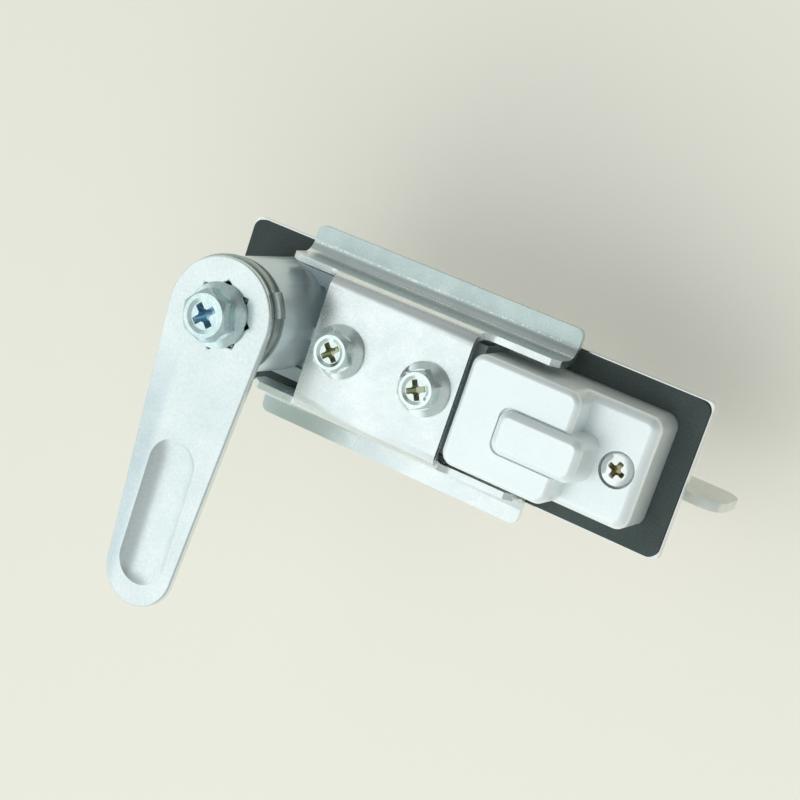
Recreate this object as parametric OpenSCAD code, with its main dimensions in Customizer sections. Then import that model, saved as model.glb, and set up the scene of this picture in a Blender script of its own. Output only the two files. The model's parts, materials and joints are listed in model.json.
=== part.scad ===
// Cabinet panel lock with a lift-and-turn handle, a swinging cam and a clamping bracket.
// The lock lies face down: +Z is the inside of the cabinet, z = 0 is the outside of the door panel.
// +X runs along the lock from the cam end to the key end, and the cam points to -Y when locked.

/* [Face plate] */
// Width of the lip on each side of the panel cut-out
lip = 5.2; // [4:0.1:8]
// Corner radius of the face plate
plate_r = 1.4; // [1:0.1:5]
// Thickness of the flange that covers the cut-out
plate_t = 2.2; // [1.8:0.1:3]
// Spindle axis, measured from the left end of the plate
spindle_in = 15.6; // [14:0.1:20]
// Right end of the cover, measured from the right end of the plate
cover_in = 5.4; // [4.5:0.1:8]
// Thickness of the rubber gasket
gasket_t = 0.8; // [0.5:0.1:1.5]
// How far the gasket edge stays inside the plate edge
gasket_inset = 0.35; // [0.2:0.05:1.5]
// Corner radius of the gasket
gasket_r = 2.2; // [1:0.1:5]

/* [Body] */
// Width of the part that passes through the panel cut-out
body_w = 25.2; // [24:0.2:28]
// Wall of the boss round the spindle
boss_wall = 4.6; // [4:0.1:6]
// Height of the boss above the panel face
boss_h = 24.8; // [22:0.1:32]
// Diameter of the peg that limits the turn
peg_d = 2.4; // [1.6:0.1:2.6]
// Clearance between the cast pieces and the gasket round them
cutout_gap = 0.05; // [0.05:0.05:0.6]

/* [Bracket] */
// Sheet thickness of the bracket
sheet_t = 1.5; // [1:0.1:2]
// Gap between the gasket and the feet, where the panel sits
foot_gap = 2.1; // [2.1:0.1:4]
// Height of the bracket web above the panel face
web_h = 16.5; // [15:0.1:20]
// Length of the bracket web
web_l = 35.5; // [32:0.1:44]
// Gap between the bracket walls and the cast body
wall_gap = 1.55; // [0.8:0.05:3]
// Width of the flat part of each foot
foot_flat = 3.5; // [2.5:0.1:8]
// Outside radius of the two upper bends
bend_top = 3.6; // [2:0.1:5]
// Radius of the two bends above the feet
bend_foot = 3.0; // [1:0.1:4]
// Left end of the feet, measured from the spindle axis
foot_in = 2.4; // [0:0.1:6]
// Length of the feet
foot_l = 66.2; // [60:0.1:72]
// Radius of the corners of the feet
foot_r = 1.8; // [0.5:0.1:3]
// Height of the cut walls beyond the web
cut_h = 12.8; // [10:0.1:14]
// Distance from each bracket screw to the edge of the web
screw_edge = 7.1; // [6.2:0.1:9]

/* [Cover] */
// Length of the cover
cover_l = 40.8; // [38:0.1:48]
// Corner radius of the cover, seen from above
cover_r = 3; // [2.6:0.1:4]
// Rounding of the upper edges of both steps
cover_edge = 2; // [0.8:0.1:2.2]
// Height of the upper step of the cover
cover_h1 = 19; // [16:0.1:22]
// Height of the lower step of the cover
cover_h2 = 11.4; // [10.6:0.1:13]
// Length of the lower step
step_l = 15.8; // [14:0.1:20]
// Height of the rib above the upper step
rib_rise = 2.8; // [1:0.1:4]
// Width of the rib
rib_w = 10; // [7:0.1:14]
// How far the rib lies off the middle line
rib_y = -0.6; // [-2:0.1:2]
// Length of the rib
rib_l = 20.1; // [12:0.1:22]
// How far the rib reaches over the lower step
rib_over = 5.1; // [3:0.1:5.6]
// Rounding of the upper edge of the rib
rib_edge = 1.6; // [0.6:0.1:1.8]
// Wall thickness of the cover
cover_t = 2; // [1.5:0.1:2.4]
// Cover screw, measured from the right end of the cover
cover_screw_in = 6; // [5.6:0.1:7]
// How far the cover screw lies off the middle line
cover_screw_y = -0.6; // [-2:0.1:2]
// Diameter of the head of the cover screw
cover_head_d = 7.2; // [6.8:0.1:8]

/* [Cam] */
// Sheet thickness of the cam
cam_t = 1.8; // [1.6:0.1:4]
// Radius of the hub end of the cam
cam_r1 = 12.6; // [11:0.1:15]
// Radius of the tip of the cam
cam_r2 = 8.6; // [6:0.1:10]
// Distance from the spindle to the centre of the tip
cam_l = 58.8; // [45:0.2:70]
// Width of the pressed trough
trough_w = 11.6; // [6:0.1:12]
// Depth of the pressed trough
trough_d = 1.5; // [0.5:0.1:2]
// Length of the pressed trough
trough_l = 33.6; // [20:0.5:40]
// Distance from the end of the trough to the tip of the cam
trough_end = 5; // [3:0.1:8]
// Side of the square drive
drive_a = 10.6; // [8:0.1:11]
// Thickness of the stop disc under the cam
stop_t = 2; // [1:0.1:2.4]
// Thickness of the thrust washer on the boss
washer_t = 1.9; // [1:0.1:2.4]
// Turn of the handle and cam, in degrees
cam_turn = 90; // [45:5:90]

/* [Handle] */
// Width of the handle
handle_w = 23; // [20:0.5:25]
// Thickness of the handle
handle_t = 9; // [8:0.1:9.4]
// Gap between the handle and the face plate
handle_gap = 0.5; // [0.3:0.05:1]
// Length of the ledge that the latch holds
ledge_l = 2.6; // [1.5:0.1:2.6]
// Gap between the handle ledge and the end block
ledge_gap = 1; // [0.8:0.1:2]
// Diameter of the pivot pin
pin_d = 4; // [3:0.1:4.5]
// Radius of the dished grip
dish_r = 69.4; // [50:0.2:90]
// Depth of the dished grip
dish_d = 1.4; // [0.6:0.1:1.8]
// Distance from the deepest line of the dish to the end of the handle
dish_in = 23; // [18:0.5:26]

/* [Screws] */
// Width across the flats of the bracket screws
screw_af = 8; // [7:0.1:8.4]
// Flange diameter of the bracket screws
screw_flange = 11.8; // [10:0.1:12]
// Head height of the bracket screws
screw_head = 4.6; // [3.5:0.1:5]
// Turn of the first bracket screw, in degrees
screw_turn_1 = 44; // [0:1:60]
// Turn of the second bracket screw, in degrees
screw_turn_2 = 27; // [0:1:60]
// Width across the flats of the cam bolt
bolt_af = 10; // [9:0.1:10.4]
// Flange diameter of the cam bolt
bolt_flange = 14.2; // [13:0.1:15]
// Head height of the cam bolt
bolt_head = 6.2; // [5:0.1:7]
// Turn of the cam bolt, in degrees
bolt_turn = 46; // [0:1:60]

/* [Latch and button] */
// Height of the end block above the face plate
block_h = 9.5; // [9:0.1:11]
// Wall of the end block beyond the button and the latch window
block_in = 5.1; // [5:0.1:7]
// Distance from the push button to the key cylinder
button_pitch = 16.8; // [16.6:0.1:20]
// Diameter of the push button
button_d = 9; // [7:0.1:9.2]
// Travel of the push button and of the latch
travel = 2.6; // [2:0.1:2.6]
// Thickness of the latch slider
slider_t = 1.8; // [1.4:0.1:1.9]

/* [Key] */
// Axis of the key cylinder, measured from the right end of the plate
key_in = 9.8; // [9.6:0.1:12]
// Distance from the key cylinder to the side of the end block
key_side = 7; // [6.6:0.1:8]
// Diameter of the key plug
plug_d = 8.6; // [8:0.1:9]
// Diameter of the fixed barrel
barrel_d = 11.2; // [10.6:0.1:12]
// Width of the key bow
bow_w = 30.4; // [20:0.2:34]
// Height of the key bow
bow_h = 17; // [11:0.5:22]
// Corner radius of the key bow
bow_r = 5; // [2:0.5:6]
// Thickness of the key
key_t = 2.2; // [1.5:0.1:2.4]

/* [Clearances] */
// Radial running fit of turning parts
fit = 0.05; // [0.02:0.01:0.1]
// Side clearance of sliding parts
slide = 0.2; // [0.1:0.05:0.3]
// Gap between the boss and the bracket web
boss_gap = 3; // [2:0.1:5]
// Gap between the bracket web and the end of the cast body
web_gap = 1.1; // [0.8:0.1:3]
// Gap between the cast body and the cover
cover_gap = 0.4; // [0.2:0.1:1]
// Gap between the carrier bridge and the cover walls
bridge_gap = 0.8; // [0.5:0.1:1.5]
// Play between the boss and the thrust washer
washer_gap = 0.3; // [0.1:0.05:0.5]

/* [Hidden] */
$fn = 64;
eps = 0.01;
z_back = -gasket_t;
z_face = z_back - plate_t;
z_front = z_face - block_h;
body_r = body_w / 2;
spindle_r = body_r - boss_wall;
plate_l = spindle_in + body_r + boss_gap + web_l + web_gap + cover_gap + cover_l + cover_in;
plate_w = body_w + 2 * lip;
spindle_x = spindle_in - plate_l / 2;
web_x0 = spindle_x + body_r + boss_gap;
web_x1 = web_x0 + web_l;
body_x1 = web_x1 + web_gap;
cover_x0 = body_x1 + cover_gap;
cover_x1 = cover_x0 + cover_l;
step_x = cover_x1 - step_l;
cover_screw_x = cover_x1 - cover_screw_in;
wall_w = body_w + 2 * (wall_gap + sheet_t);
foot_w = wall_w + 2 * (bend_foot + foot_flat);
foot_x0 = spindle_x + foot_in;
foot_x1 = foot_x0 + foot_l;
screw_x1 = web_x0 + screw_edge;
screw_x2 = web_x1 - screw_edge;
post_top = web_h - sheet_t - 0.4;
foot_top = foot_gap + sheet_t;
stop_z0 = boss_h + washer_gap + washer_t;
cam_z0 = stop_z0 + stop_t;
cam_h = cam_z0 + cam_t;
stop_r = body_r + 0.4;
peg_r = (body_r + spindle_r) / 2;
peg_a = 190;
handle_z1 = z_face - handle_gap;
handle_z0 = handle_z1 - handle_t;
pivot_z = (handle_z0 + handle_z1) / 2;
hub_r = handle_t / 2;
barrel_r = barrel_d / 2;
plug_r = plug_d / 2;
key_x = plate_l / 2 - key_in;
key_y = key_side - body_r;
button_x = key_x - button_pitch;
block_x0 = button_x - button_d / 2 - block_in;
block_x1 = key_x + barrel_r + 1.6;
ledge_t = 3.1;
ledge_r = block_x0 - ledge_gap - spindle_x;
handle_r = ledge_r - ledge_l;
fork_w = 8.4;
tongue_w = 5.2;
block_r = 3;
block_roof = 2;
block_wall = 1.6;
cav_x0 = block_x0 + block_wall;
cav_x1 = block_x1 - block_wall;
cav_w = body_w - 3.6;
cav_z = z_front + block_roof;
shoulder = 0.8;
slider_z1 = z_face - 0.4;
slider_z0 = slider_z1 - slider_t;
slider_w = 10;
nose_z1 = handle_z1 - ledge_t - 0.3;
nose_z0 = nose_z1 - 1.7;
nose_x = spindle_x + handle_r + 0.5;
upright_x0 = block_x0 - 0.4;
upright_x1 = upright_x0 + 2.1;
ramp_low = 1.2;
ramp_high = 4.4;
block_y = 2.8;
foot_z = z_face + 0.2;
head_z1 = slider_z0 - travel - 0.5;
window_x0 = button_x - 2.6 - travel - 0.3;
bar_x1 = button_x + 5.6;
lever_r = plug_r + 3.5;
tongue_x1 = key_x - lever_r - 0.4;
lever_z0 = z_face - 2.6;
lever_z1 = z_face - 0.4;
barrel_z1 = lever_z0 - 0.6;
plug_z1 = z_back - 0.2;
bridge_z1 = cover_h2 - 2.5;
bridge_w = body_w - 2 * (cover_t + bridge_gap);
key_z1 = plug_z1 - 0.9;
bow_z1 = z_front - 3;

// Rounded rectangle as a flat outline
module rounded(l, w, r) {
    square([l - 2 * r, w], center = true);
    square([l, w - 2 * r], center = true);
    for (sx = [-1, 1], sy = [-1, 1])
        translate([sx * (l / 2 - r), sy * (w / 2 - r)]) circle(r);
}

// Outline of everything that passes through the panel, grown by g
module cutout(g) {
    translate([spindle_x, 0]) circle(body_r + g);
    translate([spindle_x, -body_r - g]) square([cover_x1 - cover_r - spindle_x, body_w + 2 * g]);
    translate([0, cover_r - body_r]) square([cover_x1 + g, body_w - 2 * cover_r]);
    for (s = [-1, 1])
        translate([cover_x1 - cover_r, s * (body_r - cover_r)]) circle(cover_r + g);
}

// Cross recess, cut downwards from z = 0
module cross_recess(w) {
    intersection() {
        union() {
            translate([-w / 2, -0.14 * w, -0.5 * w]) cube([w, 0.28 * w, 0.5 * w + 1]);
            translate([-0.14 * w, -w / 2, -0.5 * w]) cube([0.28 * w, w, 0.5 * w + 1]);
            translate([0, 0, -0.5 * w]) cylinder(d = 0.5 * w, h = 0.5 * w + 1);
        }
        translate([0, 0, -0.5 * w]) cylinder(d1 = 0.42 * w, d2 = 1.02 * w, h = 0.5 * w + eps);
    }
}

// Hexagon screw with a formed flange and a cross recess, seated on z = 0
module flange_screw(d, af, flange_d, flange_t, head_h, shank) {
    difference() {
        union() {
            rotate_extrude() polygon([[0, 0], [flange_d / 2 - 0.25, 0], [flange_d / 2, 0.25],
                [flange_d / 2, flange_t * 0.6], [af / 2 + 0.3, flange_t + 0.3], [0, flange_t + 0.3]]);
            intersection() {
                cylinder(d = af / cos(30), h = head_h, $fn = 6);
                rotate_extrude() polygon([[0, 0], [af, 0], [af, head_h - 0.35 * af], [af * 0.47, head_h], [0, head_h]]);
            }
            translate([0, 0, -shank]) cylinder(d = d, h = shank + eps);
        }
        translate([0, 0, head_h - 0.35]) cylinder(d1 = af * 0.6, d2 = af * 0.78, h = 0.36);
        translate([0, 0, head_h - 0.35]) cross_recess(af * 0.56);
    }
}

// Face plate with the raised end block that holds the button and the key cylinder
module face_plate() color("Silver") difference() {
    union() {
        translate([0, 0, z_face]) linear_extrude(plate_t) rounded(plate_l, plate_w, plate_r);
        difference() {
            translate([(block_x0 + block_x1) / 2, 0, z_front])
                linear_extrude(block_h + eps) rounded(block_x1 - block_x0, body_w, block_r);
            translate([0, 0, z_front]) block_chamfer();
        }
    }
    // Counterbore and bore for the spindle
    translate([spindle_x, 0, z_face - eps]) cylinder(r = spindle_r + 1.7, h = 1.4 + eps);
    translate([spindle_x, 0, z_face]) cylinder(r = spindle_r + fit, h = plate_t + eps);
    // Seat of the carrier plate, open to the back
    translate([cav_x0 - shoulder, -cav_w / 2 - shoulder, z_face])
        cube([cav_x1 - cav_x0 + 2 * shoulder, cav_w + 2 * shoulder, plate_t + eps]);
    // Cavity of the end block, with a sleeve left standing for the key barrel
    difference() {
        translate([cav_x0, -cav_w / 2, cav_z]) cube([cav_x1 - cav_x0, cav_w, z_face - cav_z + eps]);
        translate([key_x, key_y, cav_z - eps]) cylinder(r = barrel_r + 2, h = barrel_z1 - cav_z);
    }
    // Button hole, barrel bore and the opening for the latch nose
    translate([button_x, 0, z_front - eps]) cylinder(d = button_d + 2 * fit, h = block_roof + 2 * eps);
    translate([key_x, key_y, z_front - eps]) cylinder(r = barrel_r, h = barrel_z1 - z_front + 2 * eps);
    translate([block_x0 - 1, -4.3, nose_z0 - 0.3]) cube([block_wall + 2, 8.6, slider_z1 - nose_z0 + 0.3]);
    translate([block_x0 - 1, -slider_w / 2 - 0.3, slider_z0 - 0.3])
        cube([block_wall + 2, slider_w + 0.6, z_face - slider_z0 + 0.3]);
}

// Bevel along the long edges of the end block
module block_chamfer() for (s = [-1, 1])
    translate([block_x0 - 1, s * body_r, 0]) rotate([45, 0, 0])
        translate([0, -0.9, -0.9]) cube([block_x1 - block_x0 + 2, 1.8, 1.8]);

// Rubber gasket between the face plate and the panel
module gasket() color("DimGray") translate([0, 0, z_back]) linear_extrude(gasket_t) difference() {
    rounded(plate_l - 2 * gasket_inset, plate_w - 2 * gasket_inset, gasket_r);
    cutout(cutout_gap);
}

// Cast body: boss of the spindle, screw posts and the ribs that tie them
module body() color("LightGray") difference() {
    union() {
        translate([0, 0, z_back]) linear_extrude(4 - z_back) intersection() {
            cutout(0);
            translate([-plate_l, -plate_w]) square([plate_l + body_x1, 2 * plate_w]);
        }
        translate([spindle_x, 0, z_back]) cylinder(r = body_r, h = boss_h - z_back);
        for (s = [-1, 1])
            translate([spindle_x, s * (body_r - 1.5) - 1.5, 0]) cube([body_x1 - spindle_x, 3, 5.5]);
        translate([spindle_x, -1.5, 0]) cube([body_x1 - spindle_x, 3, 11]);
        for (x = [screw_x1, screw_x2]) {
            translate([x, 0, 0]) cylinder(d = 11, h = post_top);
            translate([x - 1.5, -body_r, 0]) cube([3, body_w, 9]);
        }
        translate([body_x1 - 3, -body_r, 0]) cube([3, body_w, 11]);
        // Peg that limits the turn of the stop disc
        translate([spindle_x, 0, boss_h - 1]) rotate(peg_a) translate([peg_r, 0, 0])
            cylinder(d = peg_d, h = cam_z0 - 0.4 - boss_h + 1);
    }
    translate([spindle_x, 0, z_back - eps]) cylinder(r = spindle_r + fit, h = boss_h + 2);
    translate([spindle_x, 0, boss_h - 0.6]) cylinder(r1 = spindle_r + fit, r2 = spindle_r + 0.7, h = 0.61);
    for (x = [screw_x1, screw_x2])
        translate([x, 0, post_top - 10]) cylinder(d = 5 + 2 * fit, h = 11);
}

// Carrier plate that closes the end block and bridges over to the cover screw
module carrier_plate() color("SlateGray") difference() {
    union() {
        translate([cav_x0 - shoulder + 0.1, -cav_w / 2 - shoulder + 0.1, z_face])
            cube([cav_x1 - cav_x0 + 2 * shoulder - 0.2, cav_w + 2 * shoulder - 0.2, plate_t]);
        for (s = [-1, 1])
            translate([cover_screw_x - 3.5, s * (bridge_w / 2 - 1.4) - 1.4, z_back - eps])
                cube([7, 2.8, bridge_z1 - z_back]);
        translate([cover_screw_x - 3.5, -bridge_w / 2, bridge_z1 - 4]) cube([7, bridge_w, 4]);
    }
    translate([cover_screw_x, cover_screw_y, bridge_z1 - 5]) cylinder(d = 4 + 2 * fit, h = 6);
    translate([key_x, key_y, z_face - 1]) cylinder(r = plug_r + fit, h = plate_t + 2);
    translate([button_x - 3, -block_y - 0.4, z_face - 1]) cube([ramp_high + 3.4, 2 * block_y + 0.8, plate_t + 2]);
}

// Drafted block: r rounds its corners seen from above, e rounds its upper edge
module drafted(x0, x1, w, z0, z1, draft, r, e) hull()
    for (k = [[0, z0], for (a = [0, 30, 60, 90]) [draft + e * (1 - cos(a)), z1 - 0.05 - e * (1 - sin(a))]])
        for (x = [x0 + r, x1 - r], s = [-1, 1])
            translate([x, s * (w / 2 - r), k[1]]) cylinder(r = r - k[0], h = 0.05, $fn = 24);

// Cast mechanism cover with two steps and the rib that runs down over the step
module cover() color("Gainsboro") difference() {
    union() {
        drafted(cover_x0, cover_x1, body_w, z_back, cover_h2, 0.2, cover_r, cover_edge);
        drafted(cover_x0 + 0.1, step_x + 0.6, body_w - 0.2, 4, cover_h1, 0.2, cover_r - 0.1, cover_edge);
        translate([0, rib_y, 0])
            drafted(step_x + rib_over - rib_l, step_x + rib_over, rib_w, cover_h2 - 3, cover_h1 + rib_rise,
                0.6, 2.6, rib_edge);
    }
    translate([cover_x0 + cover_t, -bridge_w / 2 - 0.6, z_back - 1])
        cube([cover_l - 2 * cover_t, bridge_w + 1.2, bridge_z1 + 0.1 - z_back + 1]);
    translate([cover_x0 + cover_t, -bridge_w / 2 - 0.1, z_back])
        cube([step_x - cover_x0 - 2 * cover_t + 0.4, bridge_w + 0.2, cover_h1 - cover_t - z_back]);
    translate([cover_screw_x, cover_screw_y, 0]) cylinder(d = 4.4, h = cover_h2 + 1);
    translate([cover_screw_x, cover_screw_y, cover_h2 - 1.7]) cylinder(d = cover_head_d + 0.6, h = 4);
}

// Low-head screw with a cross recess that holds the cover
module cover_screw() color("Silver") translate([cover_screw_x, cover_screw_y, cover_h2 - 1.7]) difference() {
    union() {
        rotate_extrude() polygon([[0, 0], [cover_head_d / 2, 0], [cover_head_d / 2, 1.2], [cover_head_d / 2 - 0.3, 1.55],
            [cover_head_d / 2 - 1.2, 1.72], [0, 1.78]]);
        translate([0, 0, -5.6]) cylinder(d = 4, h = 5.7);
    }
    translate([0, 0, 1.8]) rotate(-21) cross_recess(4);
}

// One half of the bracket section: web, upper bend, wall, lower bend and foot
module hat_half() {
    yo = wall_w / 2;
    translate([-eps, web_h - sheet_t]) square([yo - bend_top + eps, sheet_t]);
    translate([yo - bend_top, web_h - bend_top]) intersection() {
        difference() {
            circle(bend_top);
            circle(bend_top - sheet_t);
        }
        square(bend_top);
    }
    translate([yo - sheet_t, foot_top + bend_foot])
        square([sheet_t, web_h - bend_top - foot_top - bend_foot]);
    translate([yo + bend_foot, foot_top + bend_foot]) intersection() {
        difference() {
            circle(bend_foot + sheet_t);
            circle(bend_foot);
        }
        translate([-bend_foot - sheet_t, -bend_foot - sheet_t]) square(bend_foot + sheet_t);
    }
    translate([yo + bend_foot, foot_gap]) square([foot_w / 2 - yo - bend_foot, sheet_t]);
}

// Cut that takes the web away beyond one of its edges, with a rounded inner corner
module end_cut(r) {
    translate([r, -wall_w, cut_h]) cube([foot_l, 2 * wall_w, web_h]);
    translate([0, -wall_w, cut_h + r]) cube([foot_l, 2 * wall_w, web_h]);
    translate([r, wall_w, cut_h + r]) rotate([90, 0, 0]) cylinder(r = r, h = 2 * wall_w);
}

// Rounds off one outer corner of a foot
module foot_corner(r) translate([0, 0, -1]) difference() {
    translate([-1, -1, 0]) cube([r + 1, r + 1, foot_top + 2]);
    translate([r, r, -1]) cylinder(r = r, h = foot_top + 4);
}

// Pressed bracket that clamps the panel between its feet and the gasket
module bracket() color("WhiteSmoke") difference() {
    translate([foot_x0, 0, 0]) rotate([90, 0, 90]) linear_extrude(foot_x1 - foot_x0) {
        hat_half();
        mirror([1, 0]) hat_half();
    }
    translate([web_x1, 0, 0]) end_cut(3);
    translate([web_x0, 0, 0]) mirror([1, 0, 0]) end_cut(2.4);
    for (s = [0, 1]) mirror([0, s, 0]) {
        translate([foot_x0, -foot_w / 2, 0]) foot_corner(foot_r);
        translate([foot_x1, -foot_w / 2, 0]) mirror([1, 0, 0]) foot_corner(foot_r);
        // Slanted upper corners of the four wall ends
        translate([foot_x0, 0, cut_h]) rotate([0, 45, 0]) translate([-1.6, body_r, -1.6]) cube([3.2, 8, 3.2]);
        translate([foot_x1, 0, cut_h]) rotate([0, 45, 0]) translate([-1.2, body_r, -1.2]) cube([2.4, 8, 2.4]);
    }
    for (x = [screw_x1, screw_x2])
        translate([x, 0, web_h - 3]) cylinder(d = 5.6, h = 4);
}

module bracket_screw(x, a) color("Silver") translate([x, 0, web_h]) rotate(a)
    flange_screw(5, screw_af, screw_flange, 1.2, screw_head, 8);
module bracket_screw_1() bracket_screw(screw_x1, screw_turn_1);
module bracket_screw_2() bracket_screw(screw_x2, screw_turn_2);

// Spindle with its front tongue, collar, seal groove and square drive
module spindle() color("LightSteelBlue") translate([spindle_x, 0, 0]) difference() {
    union() {
        translate([0, 0, z_face + 0.1]) cylinder(r = spindle_r + 1.4, h = 1.2);
        translate([0, 0, z_face + 0.1]) cylinder(r = spindle_r, h = stop_z0 - z_face - 0.1);
        translate([-drive_a / 2, -drive_a / 2, stop_z0 - eps]) cube([drive_a, drive_a, cam_t + stop_t - 0.3]);
        translate([-hub_r + 0.3, -tongue_w / 2, pivot_z]) cube([2 * hub_r - 0.6, tongue_w, z_face - pivot_z + 0.2]);
        translate([0, tongue_w / 2, pivot_z]) rotate([90, 0, 0]) cylinder(r = hub_r - 0.3, h = tongue_w);
    }
    translate([0, tongue_w / 2 + 1, pivot_z]) rotate([90, 0, 0]) cylinder(d = pin_d + 2 * fit, h = tongue_w + 2);
    translate([0, 0, 8]) difference() {
        cylinder(r = spindle_r + 1, h = 2);
        translate([0, 0, -1]) cylinder(r = spindle_r - 1.4, h = 4);
    }
    translate([0, 0, stop_z0 - 12]) cylinder(d = 6 + 2 * fit, h = 30);
}

// Rubber ring in the groove of the spindle
module spindle_seal() color("Black") translate([spindle_x, 0, 9])
    rotate_extrude() translate([spindle_r - 0.68, 0]) circle(0.7, $fn = 32);

// Plain washer between the boss and the stop disc
module thrust_washer() color("DarkGray") translate([spindle_x, 0, stop_z0 - washer_t]) difference() {
    cylinder(r = peg_r - peg_d / 2 - 0.4, h = washer_t);
    translate([0, 0, -1]) cylinder(r = spindle_r + 0.1, h = washer_t + 2);
}

// Stop disc with a raised sector and a curved slot for the peg
module stop_disc() color("Silver") translate([spindle_x, 0, stop_z0]) difference() {
    union() {
        cylinder(r = stop_r, h = stop_t);
        rotate(17) rotate_extrude(angle = 24) translate([stop_r - 2, 0]) square([3.1, stop_t]);
    }
    translate([-drive_a / 2 - 0.02, -drive_a / 2 - 0.02, -1]) cube([drive_a + 0.04, drive_a + 0.04, stop_t + 2]);
    rotate(peg_a - cam_turn) rotate_extrude(angle = cam_turn)
        translate([peg_r - peg_d / 2 - 0.3, -1]) square([peg_d + 0.6, stop_t + 2]);
    for (a = [peg_a, peg_a - cam_turn])
        rotate(a) translate([peg_r, 0, -1]) cylinder(d = peg_d + 0.6, h = stop_t + 2);
}

// Cam outline: two circles joined by their outer tangents, whose ends lie a hair inside the circles
module cam_outline() {
    s = asin((cam_r1 - cam_r2) / cam_l);
    a = cam_r1 - eps;
    b = cam_r2 - eps;
    circle(cam_r1);
    translate([0, -cam_l]) circle(cam_r2);
    polygon([[a * cos(s), -a * sin(s)], [b * cos(s), -cam_l - b * sin(s)],
        [-b * cos(s), -cam_l - b * sin(s)], [-a * cos(s), -a * sin(s)]]);
}

// Round-bottomed channel with ball ends, r is its section radius
module channel(r, len) {
    rotate([90, 0, 0]) cylinder(r = r, h = len, center = true);
    for (s = [-1, 1]) translate([0, s * len / 2, 0]) rotate([90, 0, 0]) sphere(r);
}

// Swinging cam with the pressed trough and the eight-point drive hole
module cam() color("WhiteSmoke") translate([spindle_x, 0, cam_z0]) difference() {
    trough_r = (trough_w * trough_w / 4 + trough_d * trough_d) / (2 * trough_d);
    trough_y = -cam_l - cam_r2 + trough_end + trough_l / 2;
    trough_z = cam_t + trough_r - trough_d;
    union() {
        linear_extrude(cam_t) cam_outline();
        intersection() {
            translate([0, trough_y, trough_z]) channel(trough_r + cam_t - 0.4, trough_l - trough_w);
            translate([-cam_r2, -cam_l - cam_r2, -trough_d]) cube([2 * cam_r2, cam_l, trough_d + 1]);
        }
    }
    translate([0, trough_y, trough_z]) channel(trough_r, trough_l - trough_w);
    for (a = [0, 45]) rotate(a)
        translate([-drive_a / 2 - 0.15, -drive_a / 2 - 0.15, -1]) cube([drive_a + 0.3, drive_a + 0.3, cam_t + 2]);
}

module cam_bolt() color("LightSteelBlue") translate([spindle_x, 0, cam_h]) rotate(bolt_turn)
    flange_screw(6, bolt_af, bolt_flange, 1.4, bolt_head, 14);

// Coils of the spring that lifts the handle, wound on the pivot pin
module pop_spring() color("DarkGray") translate([spindle_x, 0, pivot_z]) rotate([90, 0, 0])
    for (s = [-1, 1], k = [0, 1])
        translate([0, 0, s * (tongue_w / 2 + 0.4 + 0.66 * k)])
            rotate_extrude() translate([pin_d / 2 + 0.5, 0]) circle(0.34, $fn = 24);

// Handle: round hub, flat grip with a dished front and the ledge under the latch nose
module handle() color("Silver") difference() {
    union() {
        intersection() {
            union() {
                translate([spindle_x, handle_w / 2, pivot_z]) rotate([90, 0, 0]) cylinder(r = hub_r, h = handle_w);
                translate([spindle_x, -handle_w / 2, handle_z0]) cube([handle_r + 5, handle_w, handle_t]);
            }
            translate([spindle_x, 0, handle_z0 - 1]) cylinder(r = handle_r, h = handle_t + 2, $fn = 128);
        }
        intersection() {
            translate([spindle_x + handle_r - 12, -handle_w / 2, handle_z1 - ledge_t])
                cube([ledge_l + 13, handle_w, ledge_t]);
            translate([spindle_x, 0, handle_z0 - 1]) cylinder(r = ledge_r, h = handle_t + 2, $fn = 128);
        }
    }
    translate([spindle_x - 10, -fork_w / 2, handle_z0 - 1]) cube([19, fork_w, handle_t + 2]);
    translate([spindle_x, handle_w, pivot_z]) rotate([90, 0, 0]) cylinder(d = pin_d, h = 2 * handle_w);
    // Dished grip on the front
    translate([spindle_x + handle_r - dish_in, handle_w, handle_z0 + dish_d - dish_r]) rotate([90, 0, 0])
        cylinder(r = dish_r, h = 2 * handle_w, $fn = 128);
    // Bevels along both front edges
    for (s = [-1, 1]) translate([spindle_x - 10, s * handle_w / 2, handle_z0]) rotate([45, 0, 0])
        translate([0, -1, -1]) cube([handle_r + 20, 2, 2]);
}

module handle_pin() color("Silver") translate([spindle_x, (handle_w - 2) / 2, pivot_z]) rotate([90, 0, 0])
    cylinder(d = pin_d, h = handle_w - 2);

// Push button: round head, retaining wings and the 45 degree ramp that draws the latch
module button() color("Silver") difference() {
    union() {
        translate([button_x, 0, z_front - 0.9]) cylinder(d = button_d, h = head_z1 - z_front + 0.9);
        translate([button_x - 2, -6, cav_z + 0.2]) cube([4, 12, 1.3]);
        translate([button_x, block_y, 0]) rotate([90, 0, 0]) linear_extrude(2 * block_y)
            polygon([[-2.6, head_z1 - 0.5], [ramp_high, head_z1 - 0.5], [ramp_high, foot_z - ramp_high + ramp_low],
                [ramp_low, foot_z], [-2.6, foot_z]]);
    }
    translate([button_x, 0, z_front - 12.4]) sphere(12);
}

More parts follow.
